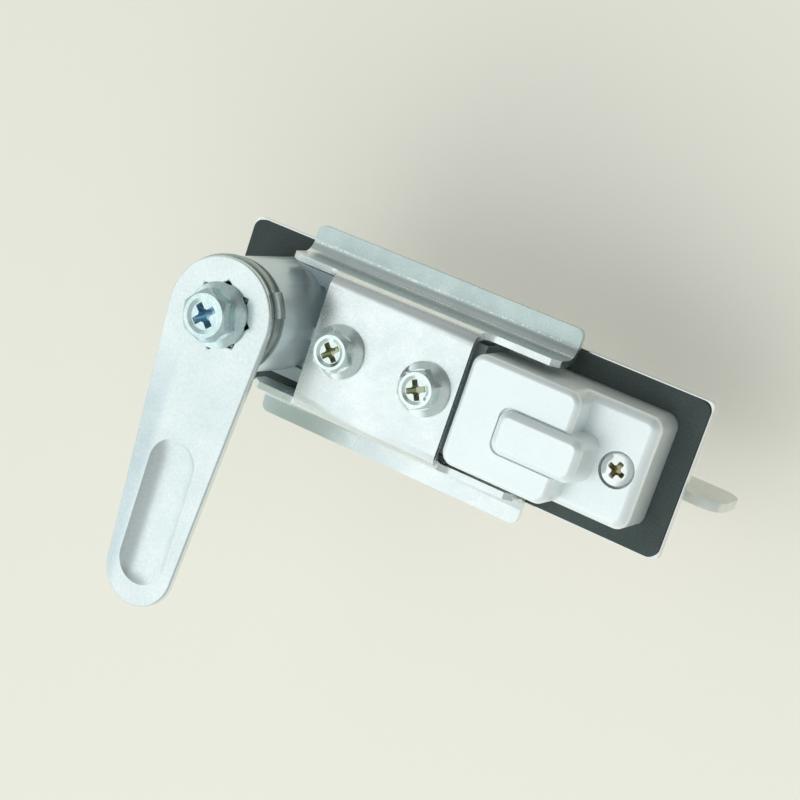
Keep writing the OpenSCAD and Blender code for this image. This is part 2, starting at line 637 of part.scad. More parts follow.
// Latch slider: frame round the button ramp, nose over the handle ledge and a tail for the key lever
module latch_slider() color("DarkGray") difference() {
    union() {
        translate([upright_x0, -slider_w / 2, slider_z0]) cube([bar_x1 - upright_x0, slider_w, slider_t]);
        translate([bar_x1 - 1, key_y - 1.8, slider_z0]) cube([tongue_x1 - bar_x1 + 1, 5, slider_t]);
        translate([upright_x0, -4, nose_z0]) cube([upright_x1 - upright_x0, 8, slider_z1 - nose_z0]);
        translate([nose_x, -4, nose_z0]) cube([upright_x1 - nose_x, 8, nose_z1 - nose_z0]);
    }
    // Window with a ramp parallel to the one on the button
    translate([0, block_y + 0.3, 0]) rotate([90, 0, 0]) linear_extrude(2 * block_y + 0.6)
        polygon([[window_x0, slider_z0 - 1], [button_x + ramp_low + (foot_z - slider_z0) + 1 + slide, slider_z0 - 1],
            [button_x + ramp_low + (foot_z - slider_z1) - 1 + slide, slider_z1 + 1], [window_x0, slider_z1 + 1]]);
    // Lead-in slope of the nose
    translate([nose_x, 0, nose_z0]) rotate([0, 45, 0]) translate([-0.8, -5, -0.8]) cube([1.6, 10, 1.6]);
}

// Fixed barrel of the key cylinder
module lock_barrel() color("Gainsboro") translate([key_x, key_y, 0]) difference() {
    union() {
        translate([0, 0, z_front - 0.9]) cylinder(d1 = barrel_d + 0.4, d2 = barrel_d + 0.8, h = 0.9);
        translate([0, 0, z_front - eps]) cylinder(r = barrel_r, h = barrel_z1 - z_front);
    }
    translate([0, 0, z_front - 2]) cylinder(r = plug_r + fit, h = barrel_z1 - z_front + 3);
}

// Plug that turns with the key
module plug() color("Goldenrod") translate([key_x, key_y, 0]) difference() {
    translate([0, 0, z_front - 0.7]) cylinder(r = plug_r, h = plug_z1 - z_front + 0.7);
    translate([-3.4, -key_t / 2 - 0.1, z_front - 2]) cube([6.8, key_t + 0.2, key_z1 + 0.3 - z_front + 2]);
}

// Lever on the plug that blocks the latch when the key is turned
module tail_lever() color("DarkGray") translate([key_x, key_y, lever_z0]) difference() {
    union() {
        cylinder(r = plug_r + 0.5, h = lever_z1 - lever_z0);
        translate([-1.6, 0, 0]) cube([3.2, lever_r, lever_z1 - lever_z0]);
    }
    translate([0, 0, -1]) cylinder(r = plug_r, h = lever_z1 - lever_z0 + 2);
}

// Flat key: grooved blade with a slanted tip and a bow with rounded corners
module key() color("LightGray") translate([key_x, key_y, 0]) rotate([90, 0, 0])
    translate([0, 0, -key_t / 2]) difference() {
        linear_extrude(key_t) difference() {
            union() {
                polygon([[-3.2, bow_z1 + 1], [3.2, bow_z1 + 1], [3.2, key_z1 - 3.2], [0.6, key_z1], [-0.6, key_z1],
                    [-3.2, key_z1 - 3.2]]);
                translate([-4.6, bow_z1 - 1]) square([9.2, z_front - 1 - bow_z1 + 0.9]);
                translate([0, bow_z1 - bow_h / 2]) rounded(bow_w, bow_h, bow_r);
            }
            translate([0, bow_z1 - bow_h + 3.8]) circle(2);
            // Cuts of the blade edge
            for (k = [0:3])
                translate([3.6 - 0.35 * (k % 2), z_front + 2 + 2.3 * k]) rotate(45) square(1.5, center = true);
        }
        translate([0.3, z_front - 0.6, key_t - 0.4]) cube([0.9, 16, 1]);
    }

face_plate();
gasket();
body();
carrier_plate();
cover();
cover_screw();
bracket();
bracket_screw_1();
bracket_screw_2();
spindle();
spindle_seal();
thrust_washer();
stop_disc();
cam();
cam_bolt();
pop_spring();
handle();
handle_pin();
button();
latch_slider();
lock_barrel();
plug();
tail_lever();
key();
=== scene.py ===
# %% [markdown]
# # A cabinet panel lock, seen from the inside of the door
# The lock is already modelled as solids, so this lesson adds what solids alone don't have: the plated,
# cast and rubber finishes, the softened edges of pressed and cast metal, rounder forms for the cover and
# the spring, and the light and camera of a product picture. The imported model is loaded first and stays
# where it is.

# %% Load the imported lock
import json
from math import radians

import bpy
from mathutils import Matrix, Vector

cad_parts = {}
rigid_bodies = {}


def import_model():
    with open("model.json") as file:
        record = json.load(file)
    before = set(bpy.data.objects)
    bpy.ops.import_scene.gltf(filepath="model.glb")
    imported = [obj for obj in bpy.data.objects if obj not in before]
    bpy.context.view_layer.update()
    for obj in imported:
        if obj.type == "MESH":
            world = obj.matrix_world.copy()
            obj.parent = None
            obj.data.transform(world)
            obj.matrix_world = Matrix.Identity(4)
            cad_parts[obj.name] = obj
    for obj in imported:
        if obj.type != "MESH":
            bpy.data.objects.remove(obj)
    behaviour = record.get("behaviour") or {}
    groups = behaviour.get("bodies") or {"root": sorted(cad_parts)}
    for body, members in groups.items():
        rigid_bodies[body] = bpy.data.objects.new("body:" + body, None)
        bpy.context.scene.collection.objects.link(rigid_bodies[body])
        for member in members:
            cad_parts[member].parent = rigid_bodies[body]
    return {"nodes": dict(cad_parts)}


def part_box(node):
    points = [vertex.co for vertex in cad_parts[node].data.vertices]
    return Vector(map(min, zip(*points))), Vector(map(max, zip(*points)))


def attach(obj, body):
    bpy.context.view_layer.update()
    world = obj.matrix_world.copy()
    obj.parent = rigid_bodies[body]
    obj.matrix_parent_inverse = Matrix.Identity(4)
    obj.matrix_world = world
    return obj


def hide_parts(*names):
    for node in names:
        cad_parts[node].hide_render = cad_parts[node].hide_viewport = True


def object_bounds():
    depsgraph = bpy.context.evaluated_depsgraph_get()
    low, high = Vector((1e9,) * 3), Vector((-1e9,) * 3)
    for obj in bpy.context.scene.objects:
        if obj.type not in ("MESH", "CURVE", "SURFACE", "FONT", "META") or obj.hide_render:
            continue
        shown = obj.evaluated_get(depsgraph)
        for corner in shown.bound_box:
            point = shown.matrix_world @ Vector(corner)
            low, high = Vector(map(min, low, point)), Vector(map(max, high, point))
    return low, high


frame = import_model()
CAD_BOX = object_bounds()
NODES = frame["nodes"]
MM = 0.001


# %% [markdown]
# ## Tools for the finishes
# Every finish below is a tree of shader nodes. Two small helpers keep those trees readable: one adds a node
# and sets its sockets by name, the other starts a node group with named inputs and outputs. A group is made
# once and then placed in each material that needs the effect.

# %% Helpers for shader trees
FLOAT, COLOUR, VECTOR = "NodeSocketFloat", "NodeSocketColor", "NodeSocketVector"


def place(tree, kind, values=None, **options):
    """Adds one shader node, sets its options and then its input sockets by name or number."""
    node = tree.nodes.new(kind)
    for option, value in options.items():
        setattr(node, option, value)
    for socket, value in (values or {}).items():
        node.inputs[socket].default_value = value
    return node


def start_group(name, inputs, outputs):
    """Starts a shader group; inputs are (title, kind, default) and outputs are (title, kind)."""
    tree = bpy.data.node_groups.new(name, "ShaderNodeTree")
    for title, kind, default in inputs:
        tree.interface.new_socket(title, in_out="INPUT", socket_type=kind).default_value = default
    for title, kind in outputs:
        tree.interface.new_socket(title, in_out="OUTPUT", socket_type=kind)
    return tree, tree.nodes.new("NodeGroupInput"), tree.nodes.new("NodeGroupOutput")


# %% [markdown]
# ### Cloudy plating
# Zinc, nickel and paint are never one even colour: the plating bath leaves soft clouds a few millimetres
# wide with a finer grain in them. Two noise textures, a coarse and a fine one, are mixed into one mask, and
# the mask blends a darker and a lighter colour. Object coordinates are used, so the clouds stay on the
# piece.

# %% Group: cloudy plating
def make_clouds():
    """The group's colour runs from Dark to Light, and its mask is 0 in the dark spots and 1 in the light."""
    tree, inp, out = start_group(
        "cloudy_plating",
        [("Dark", COLOUR, (0.5, 0.5, 0.5, 1)), ("Light", COLOUR, (0.8, 0.8, 0.8, 1)),
         ("Cloud Scale", FLOAT, 150), ("Grain Scale", FLOAT, 2200), ("Grain", FLOAT, 0.4)],
        [("Color", COLOUR), ("Mask", FLOAT)])
    where = place(tree, "ShaderNodeTexCoord")
    clouds = place(tree, "ShaderNodeTexNoise", {"Detail": 4, "Roughness": 0.6})
    grain = place(tree, "ShaderNodeTexNoise", {"Detail": 2, "Roughness": 0.5})
    both = place(tree, "ShaderNodeMix", data_type="FLOAT")
    spread = place(tree, "ShaderNodeMapRange", {"From Min": 0.34, "From Max": 0.66})
    blend = place(tree, "ShaderNodeMix", data_type="RGBA")
    link = tree.links.new
    for noise, scale in ((clouds, "Cloud Scale"), (grain, "Grain Scale")):
        link(where.outputs["Object"], noise.inputs["Vector"])
        link(inp.outputs[scale], noise.inputs["Scale"])
    link(inp.outputs["Grain"], both.inputs["Factor"])
    link(clouds.outputs["Fac"], both.inputs["A"])
    link(grain.outputs["Fac"], both.inputs["B"])
    link(both.outputs["Result"], spread.inputs["Value"])
    link(spread.outputs["Result"], blend.inputs["Factor"])
    link(inp.outputs["Dark"], blend.inputs["A"])
    link(inp.outputs["Light"], blend.inputs["B"])
    link(blend.outputs["Result"], out.inputs["Color"])
    link(spread.outputs["Result"], out.inputs["Mask"])
    return tree


CLOUDS = make_clouds()
print("group", CLOUDS.name)


# %% [markdown]
# ### Rolling marks
# Sheet steel keeps fine lines from the rolling mill, and turned pins keep them from the lathe. A noise
# texture that is squeezed across the line and stretched along it gives them. The group puts out a height
# for a Bump node.

# %% Group: fine lines
def make_lines():
    """The group's height is a noise, squeezed by its own factor along each axis."""
    tree, inp, out = start_group(
        "fine_lines", [("Squeeze", VECTOR, (60, 2400, 2400))], [("Height", FLOAT)])
    where = place(tree, "ShaderNodeTexCoord")
    squeeze = place(tree, "ShaderNodeMapping")
    noise = place(tree, "ShaderNodeTexNoise", {"Scale": 1.0, "Detail": 3, "Roughness": 0.65})
    link = tree.links.new
    link(where.outputs["Object"], squeeze.inputs["Vector"])
    link(inp.outputs["Squeeze"], squeeze.inputs["Scale"])
    link(squeeze.outputs["Vector"], noise.inputs["Vector"])
    link(noise.outputs["Fac"], out.inputs["Height"])
    return tree


LINES = make_lines()
print("group", LINES.name)


# %% [markdown]
# ### A mask round an axis
# The cross recess of each screw is painted darker, as painted shade, and tinted a little olive on the screws
# and blue on the cam bolt. The boss of the body is painted lighter than the shaded skin beside it, as
# painted light. Both need a mask round an upright axis: the group measures how far a point lies from that
# axis and how far it is below a given height, and its mask is 1 inside and down there.

# %% Group: mask round an axis
def make_round_mask():
    """The group's mask is cut off at Radius and comes in over Depth below Top, all in metres."""
    tree, inp, out = start_group(
        "mask_round_axis",
        [("Axis", VECTOR, (0, 0, 0)), ("Radius", FLOAT, 0.002),
         ("Top", FLOAT, 0.02), ("Depth", FLOAT, 0.001)],
        [("Mask", FLOAT)])
    where = place(tree, "ShaderNodeTexCoord")
    offset = place(tree, "ShaderNodeVectorMath", operation="SUBTRACT")
    flat = place(tree, "ShaderNodeVectorMath", {1: (1, 1, 0)}, operation="MULTIPLY")
    reach = place(tree, "ShaderNodeVectorMath", operation="LENGTH")
    inside = place(tree, "ShaderNodeMath", operation="LESS_THAN")
    split = place(tree, "ShaderNodeSeparateXYZ")
    below = place(tree, "ShaderNodeMath", operation="SUBTRACT")
    share = place(tree, "ShaderNodeMath", operation="DIVIDE", use_clamp=True)
    both = place(tree, "ShaderNodeMath", operation="MULTIPLY")
    link = tree.links.new
    link(where.outputs["Object"], offset.inputs[0])
    link(inp.outputs["Axis"], offset.inputs[1])
    link(offset.outputs["Vector"], flat.inputs[0])
    link(flat.outputs["Vector"], reach.inputs[0])
    link(reach.outputs["Value"], inside.inputs[0])
    link(inp.outputs["Radius"], inside.inputs[1])
    link(where.outputs["Object"], split.inputs["Vector"])
    link(inp.outputs["Top"], below.inputs[0])
    link(split.outputs["Z"], below.inputs[1])
    link(below.outputs["Value"], share.inputs[0])
    link(inp.outputs["Depth"], share.inputs[1])
    link(inside.outputs["Value"], both.inputs[0])
    link(share.outputs["Value"], both.inputs[1])
    link(both.outputs["Value"], out.inputs["Mask"])
    return tree


ROUND_MASK = make_round_mask()
print("group", ROUND_MASK.name)


# %% [markdown]
# ## The finishes
# A plated or painted metal here is one Principled shader. Its colour comes from the clouds, its roughness
# from the same mask, so that darker spots are duller, and its fine surface from the lines or the grain
# through a Bump node. One function builds that tree, and each finish of the lock gives it its own values.
# The bracket comes first: bluish white zinc with rolling marks along its length.

# %% A metal finish
BUMP_STRENGTH = 0.6


def metal(name, dark, light, roughness, clouds=150, grain=2200, grain_share=0.4,
          lines=None, line_height=0.004, metallic=1.0):
    """A metal: colours dark to light, roughness (low, high), the squeeze of its fine lines or None, and
    the height of its lines or grain in millimetres."""
    material = bpy.data.materials.new(name)
    material.use_nodes = True
    tree = material.node_tree
    shader = tree.nodes["Principled BSDF"]
    shader.inputs["Metallic"].default_value = metallic
    plating = place(tree, "ShaderNodeGroup", node_tree=CLOUDS)
    for title, value in (("Dark", (*dark, 1)), ("Light", (*light, 1)), ("Cloud Scale", clouds),
                         ("Grain Scale", grain), ("Grain", grain_share)):
        plating.inputs[title].default_value = value
    dull = place(tree, "ShaderNodeMapRange", {"To Min": roughness[1], "To Max": roughness[0]})
    bump = place(tree, "ShaderNodeBump", {"Strength": BUMP_STRENGTH, "Distance": line_height * MM})
    link = tree.links.new
    link(plating.outputs["Color"], shader.inputs["Base Color"])
    link(plating.outputs["Mask"], dull.inputs["Value"])
    link(dull.outputs["Result"], shader.inputs["Roughness"])
    height = plating.outputs["Mask"]
    if lines:
        marks = place(tree, "ShaderNodeGroup", node_tree=LINES)
        marks.inputs["Squeeze"].default_value = lines
        height = marks.outputs["Height"]
    link(height, bump.inputs["Height"])
    link(bump.outputs["Normal"], shader.inputs["Normal"])
    return material


ZINC_SHEET = metal("zinc_sheet", (0.80, 0.86, 0.86), (0.92, 0.96, 0.96), (0.24, 0.34),
                   lines=(90, 1600, 1600), line_height=0.0025)
print("finish of the bracket:", ZINC_SHEET.name)


# %% [markdown]
# ### Greyer feet
# The feet of the bracket are greyer than its web: the one on the +y side all over, the other one only
# towards the cam. Two ramps across y find the feet, a ramp along x fades the second one, and the greater
# of the two masks multiplies the plating by a grey. A helper finds what colours the finished material so
# far, and that is led through a Mix node, so that several tints, painted shade and a painted highlight
# among them, can be laid one over the other.

# %% Grey feet
FOOT_GREY = (0.62, 0.68, 0.665, 1)
FOOT_BORDER = 1.2 * MM
FADE_START, FADE_END, FADE_MOST = 4 * MM, -28 * MM, 0.8


def colour_of(material):
    """The material's tree, the colour socket of its shader and the socket that feeds it so far."""
    tree = material.node_tree
    colour = tree.nodes["Principled BSDF"].inputs["Base Color"]
    return tree, colour, colour.links[0].from_socket


def grey_feet(material, from_y):
    """The feet beyond from_y are greyer, the one on the -y side only towards the cam."""
    tree, shown, plain = colour_of(material)
    where = place(tree, "ShaderNodeTexCoord")
    split = place(tree, "ShaderNodeSeparateXYZ")
    first = place(tree, "ShaderNodeMapRange", {"From Min": from_y, "From Max": from_y + FOOT_BORDER})
    second = place(tree, "ShaderNodeMapRange", {"From Min": -from_y, "From Max": -from_y - FOOT_BORDER})
    fade = place(tree, "ShaderNodeMapRange",
                 {"From Min": FADE_START, "From Max": FADE_END, "To Max": FADE_MOST})
    faded = place(tree, "ShaderNodeMath", operation="MULTIPLY")
    feet = place(tree, "ShaderNodeMath", operation="MAXIMUM")
    tint = place(tree, "ShaderNodeMix", {"B": FOOT_GREY}, data_type="RGBA", blend_type="MULTIPLY")
    link = tree.links.new
    link(where.outputs["Object"], split.inputs["Vector"])
    link(split.outputs["Y"], first.inputs["Value"])
    link(split.outputs["Y"], second.inputs["Value"])
    link(split.outputs["X"], fade.inputs["Value"])
    link(second.outputs["Result"], faded.inputs[0])
    link(fade.outputs["Result"], faded.inputs[1])
    link(first.outputs["Result"], feet.inputs[0])
    link(faded.outputs["Value"], feet.inputs[1])
    link(feet.outputs["Value"], tint.inputs["Factor"])
    link(plain, tint.inputs["A"])
    link(tint.outputs["Result"], shown)


grey_feet(ZINC_SHEET, from_y=16.6 * MM)
print("feet of", ZINC_SHEET.name, "are greyer")


# %% [markdown]
# ### A painted highlight along one foot
# A broken bright line is painted along one foot, as the painted highlight of an embossed line there. A
# coarse noise sways the line, the distance from it makes a narrow strip, and a fine noise breaks the strip
# up into specks.

# %% Painted highlight along a line
HIGHLIGHT_WHITE = (0.96, 0.98, 0.97, 1)
HIGHLIGHT_SWAY = 0.9 * MM
HIGHLIGHT_CORE, HIGHLIGHT_BORDER = 0.10 * MM, 0.27 * MM


def paint_highlight_line(material, line_y):
    """A broken line of painted highlight along x, at line_y."""
    tree, shown, plain = colour_of(material)
    where = place(tree, "ShaderNodeTexCoord")
    split = place(tree, "ShaderNodeSeparateXYZ")
    waver = place(tree, "ShaderNodeTexNoise", {"Scale": 260, "Detail": 2})
    bend = place(tree, "ShaderNodeMath", {1: HIGHLIGHT_SWAY}, operation="MULTIPLY")
    swayed = place(tree, "ShaderNodeMath", operation="SUBTRACT")
    away = place(tree, "ShaderNodeMath", {1: line_y - HIGHLIGHT_SWAY / 2}, operation="SUBTRACT")
    near = place(tree, "ShaderNodeMath", operation="ABSOLUTE")
    strip = place(tree, "ShaderNodeMapRange", {"From Min": HIGHLIGHT_BORDER, "From Max": HIGHLIGHT_CORE})
    specks = place(tree, "ShaderNodeTexNoise", {"Scale": 2600, "Detail": 3})
    sparse = place(tree, "ShaderNodeMapRange", {"From Min": 0.52, "From Max": 0.64})
    glint = place(tree, "ShaderNodeMath", operation="MULTIPLY")
    bright = place(tree, "ShaderNodeMix", {"B": HIGHLIGHT_WHITE}, data_type="RGBA")
    link = tree.links.new
    link(where.outputs["Object"], split.inputs["Vector"])
    link(where.outputs["Object"], waver.inputs["Vector"])
    link(waver.outputs["Fac"], bend.inputs[0])
    link(split.outputs["Y"], swayed.inputs[0])
    link(bend.outputs["Value"], swayed.inputs[1])
    link(swayed.outputs["Value"], away.inputs[0])
    link(away.outputs["Value"], near.inputs[0])
    link(near.outputs["Value"], strip.inputs["Value"])
    link(where.outputs["Object"], specks.inputs["Vector"])
    link(specks.outputs["Fac"], sparse.inputs["Value"])
    link(strip.outputs["Result"], glint.inputs[0])
    link(sparse.outputs["Result"], glint.inputs[1])
    link(glint.outputs["Value"], bright.inputs["Factor"])
    link(plain, bright.inputs["A"])
    link(bright.outputs["Result"], shown)


# Painted highlight: a near-white broken line along the +y foot.
paint_highlight_line(ZINC_SHEET, line_y=18.25 * MM)
print("nodes of", ZINC_SHEET.name, "with its painted_highlights:", len(ZINC_SHEET.node_tree.nodes))


# %% [markdown]
# ### Painted shade along a rim
# The cam is plated sheet too, with its rolling marks along its own length. One long edge is painted a little
# darker, as painted shade: a soft strip along that edge, which comes in slowly behind the hub, multiplies
# the plating by a grey.

# %% A shaded rim
RIM_INNER, RIM_OUTER = 1.6 * MM, -1.8 * MM
HUB_FADE = 14 * MM


def shade_rim(material, rim_x, hub_y, tint):
    """The strip beyond rim_x and below hub_y is multiplied by the tint, as painted shade."""
    tree, shown, plain = colour_of(material)
    where = place(tree, "ShaderNodeTexCoord")
    split = place(tree, "ShaderNodeSeparateXYZ")
    strip = place(tree, "ShaderNodeMapRange",
                  {"From Min": rim_x + RIM_INNER, "From Max": rim_x + RIM_OUTER},
                  interpolation_type="SMOOTHSTEP")
    along = place(tree, "ShaderNodeMapRange", {"From Min": hub_y, "From Max": hub_y - HUB_FADE})
    both = place(tree, "ShaderNodeMath", operation="MULTIPLY")
    mix = place(tree, "ShaderNodeMix", {"B": (*tint, 1)}, data_type="RGBA", blend_type="MULTIPLY")
    link = tree.links.new
    link(where.outputs["Object"], split.inputs["Vector"])
    link(split.outputs["X"], strip.inputs["Value"])
    link(split.outputs["Y"], along.inputs["Value"])
    link(strip.outputs["Result"], both.inputs[0])
    link(along.outputs["Result"], both.inputs[1])
    link(both.outputs["Value"], mix.inputs["Factor"])
    link(plain, mix.inputs["A"])
    link(mix.outputs["Result"], shown)


ZINC_CAM = metal("zinc_cam", (0.71, 0.78, 0.78), (0.82, 0.88, 0.88), (0.20, 0.27), clouds=90, grain=1300,
                 lines=(1800, 160, 1800), line_height=0.0035)
# Painted shade: a grey strip along the cam's -x rim.
shade_rim(ZINC_CAM, rim_x=-47.5 * MM, hub_y=-8 * MM, tint=(0.80, 0.83, 0.86))
print("finish of the cam:", ZINC_CAM.name)


# %% [markdown]
# ### Painted shade and painted light round an axis
# The body is a grey casting. It is only half metallic, since its skin is matt, and it has grain in place of
# lines. Its skin is painted darker than the cover, as painted shade between the boss and the bracket, and
# the mask round an axis blends a lighter colour over the boss, as painted light; the boss lies under the
# thrust washer, so the axis and the height are read from that washer's box.

# %% A tint round an axis
def tint_round(material, axis, radius, top, depth, colour):
    """Another colour within the radius of an upright axis, coming in over the depth below the top."""
    tree, shown, plain = colour_of(material)
    mask = place(tree, "ShaderNodeGroup", node_tree=ROUND_MASK)
    for title, value in (("Axis", axis), ("Radius", radius), ("Top", top), ("Depth", depth)):
        mask.inputs[title].default_value = value
    mix = place(tree, "ShaderNodeMix", {"B": (*colour, 1)}, data_type="RGBA")
    link = tree.links.new
    link(mask.outputs["Mask"], mix.inputs["Factor"])
    link(plain, mix.inputs["A"])
    link(mix.outputs["Result"], shown)
    return material


# Painted shade: the body's skin colours are darker than the cover's, for the shade between boss and bracket.
BODY_CAST_PAINTED_LIGHT = metal("body_cast_painted_light", (0.50, 0.59, 0.61), (0.57, 0.66, 0.68), (0.30, 0.40),
                  clouds=90, grain=3200, grain_share=0.6, metallic=0.5, line_height=0.010)
BOSS_LOW, BOSS_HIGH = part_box("thrust_washer")
# Painted light: the boss is given a lighter colour than the skin.
tint_round(BODY_CAST_PAINTED_LIGHT, (BOSS_LOW + BOSS_HIGH) / 2, radius=12.7 * MM, top=BOSS_HIGH.z, depth=1.0 * MM,
           colour=(0.74, 0.85, 0.87))
print("finish of the body:", BODY_CAST_PAINTED_LIGHT.name)


# %% [markdown]
# ### The other metals
# The cover is cast like the body and keeps the lighter colour, without the body's painted shade. The hidden
# front is polished chrome, the turned pieces show lines round their axis, what slides inside is dark steel,
# and the key is worn nickel.

# %% Castings, steel, chrome, brass and nickel
COVER_CAST = metal("cover_cast", (0.815, 0.885, 0.885), (0.875, 0.935, 0.935), (0.34, 0.42),
                   clouds=90, grain=3200, grain_share=0.7, metallic=0.5, line_height=0.010)
DISC_STEEL = metal("disc_steel", (0.34, 0.39, 0.37), (0.44, 0.49, 0.47), (0.28, 0.36))
CHROME = metal("chrome_front", (0.72, 0.74, 0.74), (0.82, 0.84, 0.84), (0.06, 0.13), clouds=60,
               grain_share=0.2, line_height=0.001)
STEEL = metal("turned_steel", (0.50, 0.53, 0.53), (0.66, 0.69, 0.69), (0.24, 0.34),
              lines=(300, 300, 5000))
DARK_STEEL = metal("dark_steel", (0.24, 0.25, 0.26), (0.38, 0.39, 0.40), (0.36, 0.5),
                   lines=(200, 2600, 2600))
BRASS = metal("brass_plug", (0.54, 0.41, 0.18), (0.68, 0.54, 0.27), (0.22, 0.34),
              lines=(300, 300, 5000))
NICKEL = metal("nickel_key", (0.74, 0.79, 0.74), (0.84, 0.88, 0.83), (0.30, 0.40),
               lines=(1800, 1800, 90), metallic=0.6)
print("metals:", [material.name for material in bpy.data.materials])


# %% [markdown]
# ### The screws
# Each screw has its own copy of the finish, because the painted shade and tint of its recess have to know
# where that screw's axis is. The axis and the top of the head come from the imported screw's own box.

# %% Screw finishes
SCREW_ROUGHNESS = (0.07, 0.15)
RECESS_START, RECESS_FADE = 0.3 * MM, 0.5 * MM
SCREWS = {
    # Each screw's last colour is its recess: darker as painted shade, and tinted olive, brown or blue by
    # screw.
    "bracket_screw_1": ((0.76, 0.86, 0.84), (0.88, 0.96, 0.94), 2.4 * MM, (0.44, 0.46, 0.33)),
    "bracket_screw_2": ((0.76, 0.86, 0.84), (0.88, 0.96, 0.94), 2.4 * MM, (0.44, 0.46, 0.33)),
    "cover_screw": ((0.78, 0.82, 0.81), (0.90, 0.93, 0.92), 2.1 * MM, (0.36, 0.32, 0.20)),
    "cam_bolt": ((0.56, 0.72, 0.73), (0.80, 0.93, 0.93), 3.0 * MM, (0.34, 0.53, 0.64)),
}


def screw_finish(node, dark, light, recess_radius, recess_tint_and_shade):
    """A bright screw; the recess of its head is darker, as painted shade, and tinted."""
    low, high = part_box(node)
    finish = metal(node + "_finish", dark, light, SCREW_ROUGHNESS, clouds=260, metallic=0.9)
    return tint_round(finish, (low + high) / 2, recess_radius, high.z - RECESS_START, RECESS_FADE,
                      recess_tint_and_shade)


SCREW_FINISH = {node: screw_finish(node, *values) for node, values in SCREWS.items()}
print("screws:", sorted(SCREW_FINISH))


# %% [markdown]
# ### The rubber
# The gasket is black rubber that has gone charcoal with dust. It isn't a metal: the clouds give it a faint
# bloom, and its grain is pressed in through the Bump node. Rubber mirrors less than paint, so its specular
# level is lowered too.

# %% Rubber finish
RUBBER = metal("black_rubber", (0.037, 0.052, 0.049), (0.062, 0.082, 0.077), (0.62, 0.78), clouds=70,
               grain=2600, grain_share=0.55, metallic=0.0, line_height=0.02)
RUBBER.node_tree.nodes["Principled BSDF"].inputs["Specular IOR Level"].default_value = 0.35
print("rubber:", RUBBER.name)


# %% [markdown]
# ### Which finish goes where
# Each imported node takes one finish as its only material. What slides or is hidden inside is dark steel,
# what is turned on a lathe is bright steel, and the front that shows outside the door is chrome.

# %% Give every node its finish
FINISH = {
    "face_plate": CHROME, "handle": CHROME, "button": CHROME, "lock_barrel": CHROME,
    "gasket": RUBBER, "spindle_seal": RUBBER,
    "body": BODY_CAST_PAINTED_LIGHT, "cover": COVER_CAST,
    "bracket": ZINC_SHEET, "cam": ZINC_CAM,
    "spindle": STEEL, "handle_pin": STEEL,
    "thrust_washer": DISC_STEEL, "stop_disc": DISC_STEEL,
    "carrier_plate": DARK_STEEL, "pop_spring": DARK_STEEL,
    "latch_slider": DARK_STEEL, "tail_lever": DARK_STEEL,
    "plug": BRASS, "key": NICKEL, **SCREW_FINISH,
}
for node, finish in FINISH.items():
    NODES[node].data.materials.clear()
    NODES[node].data.materials.append(finish)
print("finished nodes:", len(FINISH), "of", len(NODES))


# %% [markdown]
# ## The cover as a casting
# The cover is cast in one piece: a low step, a high step and a rib that runs down over both. A casting has
# round outer edges, because the mould is filled badly at a sharp one, and a small fillet in its inner
# corners. Three blocks are therefore tapered and rounded by hand and joined, and the inner corners are
# found by their angle and beveled last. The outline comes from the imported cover's box.

# %% Sizes of the cover
COVER_LOW, COVER_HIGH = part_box("cover")
HALF_WIDTH = COVER_HIGH.y
STEP_X = COVER_HIGH.x - 15.8 * MM
STEP_FOOT, LOW_TOP, HIGH_TOP = 4 * MM, 11.4 * MM, 19.0 * MM
SET_BACK, STEP_REACH = 0.1 * MM, 0.6 * MM
RIB_LOW = Vector((STEP_X - 15.3 * MM, -6.2 * MM, LOW_TOP - 3 * MM))
RIB_HIGH = Vector((STEP_X + 5.1 * MM, 4.4 * MM, HIGH_TOP + 1.8 * MM))
GROOVE_INSET = Vector((0.12, 0.12, 0)) * MM
GROOVE_FLOOR, GROOVE_TOP = HIGH_TOP - 0.9 * MM, HIGH_TOP + 4 * MM
print("cover", [round(x / MM, 1) for x in COVER_HIGH - COVER_LOW], "mm, step at", round(STEP_X / MM, 1))


# %% [markdown]
# ### The low step
# A block starts as a cube. Its top is drawn in a little, because a casting has to come out of its mould.
# Then its upright corners are beveled, and last the rim of its top. Faces and edges are chosen in edit mode
# by a test on their corners, so the same few steps serve every block.

# %% A rounded block
def choose(piece, kind, test):
    """Goes to edit mode with the edges or faces selected whose corners pass the test."""
    bpy.context.view_layer.objects.active = piece
    bpy.ops.object.mode_set(mode="OBJECT")
    bpy.ops.object.select_all(action="DESELECT")
    piece.select_set(True)
    bpy.ops.object.mode_set(mode="EDIT")
    bpy.ops.mesh.select_mode(type=kind)
    bpy.ops.mesh.select_all(action="DESELECT")
    bpy.ops.object.mode_set(mode="OBJECT")
    mesh = piece.data
    for item in (mesh.edges if kind == "EDGE" else mesh.polygons):
        item.select = test([mesh.vertices[i].co for i in item.vertices])
    bpy.ops.object.mode_set(mode="EDIT")


